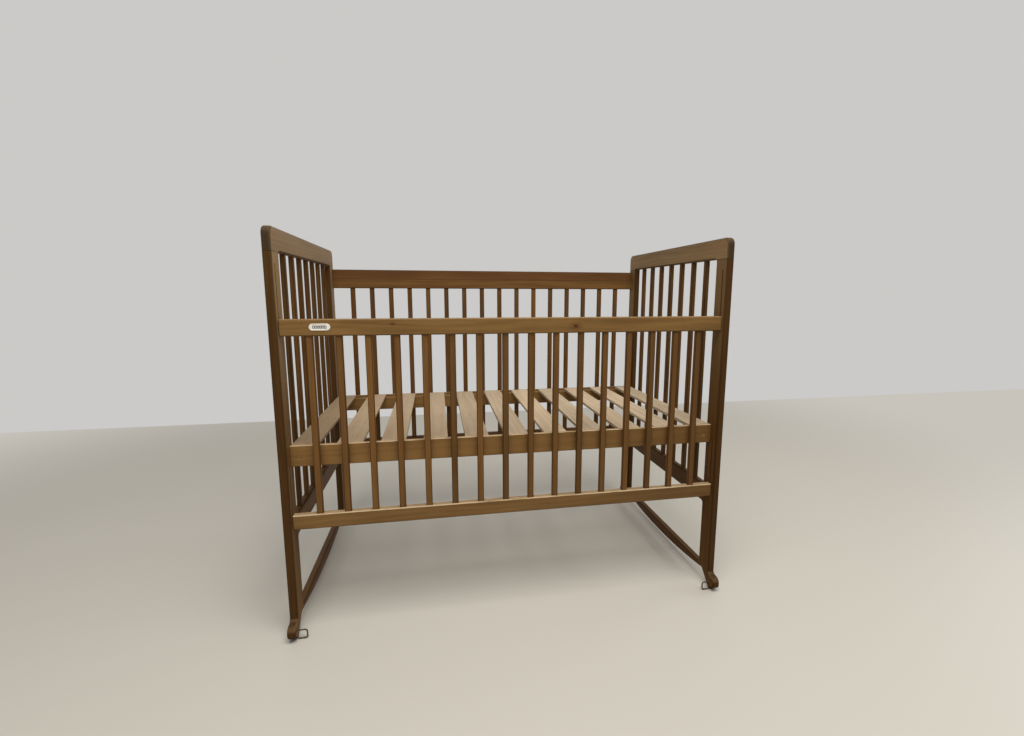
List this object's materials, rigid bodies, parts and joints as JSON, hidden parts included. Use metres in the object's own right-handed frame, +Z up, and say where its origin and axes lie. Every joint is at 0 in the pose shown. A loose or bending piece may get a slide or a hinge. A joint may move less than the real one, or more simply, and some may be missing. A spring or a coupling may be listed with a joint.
{
  "type": "crib",
  "caption": "Wooden crib with barred ends and sides, a slatted mattress base, a front side that slides down, and a hinged wire stirrup on each foot.",
  "frame": {"origin": "on the floor, under the middle of the crib", "axes": "+X along the crib from the left end to the right end, +Y from the sliding front side to the fixed rear side, +Z up"},
  "size_m": [1.257, 0.753, 1.078],
  "materials": {
    "stained_wood": "satin lacquer over a mid-brown stain",
    "slat_wood": "bare, matt, pale brown",
    "dark_wire": "darkened wire",
    "steel": "zinc-plated",
    "white_enamel": "gloss white"
  },
  "bodies": {
    "frame": {"left_front_post": "stained_wood", "left_rear_post": "stained_wood", "left_top_rail": "stained_wood", "left_low_rail_and_bars": "stained_wood", "left_stretcher": "stained_wood", "right_front_post": "stained_wood", "right_rear_post": "stained_wood", "right_top_rail": "stained_wood", "right_low_rail_and_bars": "stained_wood", "right_stretcher": "stained_wood", "rear_top_rail": "stained_wood", "rear_low_rail_and_bars": "stained_wood", "base_front_plank": "stained_wood", "base_rear_plank": "stained_wood", "slat_1": "slat_wood", "slat_2": "slat_wood", "slat_3": "slat_wood", "slat_4": "slat_wood", "slat_5": "slat_wood", "slat_6": "slat_wood", "slat_7": "slat_wood", "slat_8": "slat_wood", "slat_9": "slat_wood", "slat_10": "slat_wood", "slat_11": "slat_wood", "left_front_base_bolt": "steel", "left_front_cross_dowel": "steel", "left_rear_base_bolt": "steel", "left_rear_cross_dowel": "steel", "right_front_base_bolt": "steel", "right_front_cross_dowel": "steel", "right_rear_base_bolt": "steel", "right_rear_cross_dowel": "steel"},
    "front_side": {"front_top_rail": "stained_wood", "front_low_rail": "stained_wood", "front_bar_1": "stained_wood", "front_bar_2": "stained_wood", "front_bar_3": "stained_wood", "front_bar_4": "stained_wood", "front_bar_5": "stained_wood", "front_bar_6": "stained_wood", "front_bar_7": "stained_wood", "front_bar_8": "stained_wood", "front_bar_9": "stained_wood", "front_bar_10": "stained_wood", "front_bar_11": "stained_wood", "front_bar_12": "stained_wood", "front_bar_13": "stained_wood", "front_bar_14": "stained_wood", "front_bar_15": "stained_wood", "front_bar_16": "stained_wood", "left_low_guide_pin": "steel", "left_top_guide_pin": "steel", "right_low_guide_pin": "steel", "right_top_guide_pin": "steel", "badge": "white_enamel"},
    "stirrup_left_front": {"left_front_stirrup": "dark_wire"},
    "stirrup_left_rear": {"left_rear_stirrup": "dark_wire"},
    "stirrup_right_front": {"right_front_stirrup": "dark_wire"},
    "stirrup_right_rear": {"right_rear_stirrup": "dark_wire"}
  },
  "joints": [
    {"name": "front_side_slide", "type": "slide", "parent": "frame", "child": "front_side", "axis": [0, 0, 1], "range_m": [0, 0.155]},
    {"name": "left_front_stirrup_hinge", "type": "hinge", "parent": "frame", "child": "stirrup_left_front", "pos_m": [-0.603, -0.356, 0.026], "axis": [1, 0, 0], "range_deg": [-150, 150]},
    {"name": "left_rear_stirrup_hinge", "type": "hinge", "parent": "frame", "child": "stirrup_left_rear", "pos_m": [-0.603, 0.356, 0.026], "axis": [1, 0, 0], "range_deg": [-150, 150]},
    {"name": "right_front_stirrup_hinge", "type": "hinge", "parent": "frame", "child": "stirrup_right_front", "pos_m": [0.603, -0.356, 0.026], "axis": [1, 0, 0], "range_deg": [-150, 150]},
    {"name": "right_rear_stirrup_hinge", "type": "hinge", "parent": "frame", "child": "stirrup_right_rear", "pos_m": [0.603, 0.356, 0.026], "axis": [1, 0, 0], "range_deg": [-150, 150]}
  ]
}
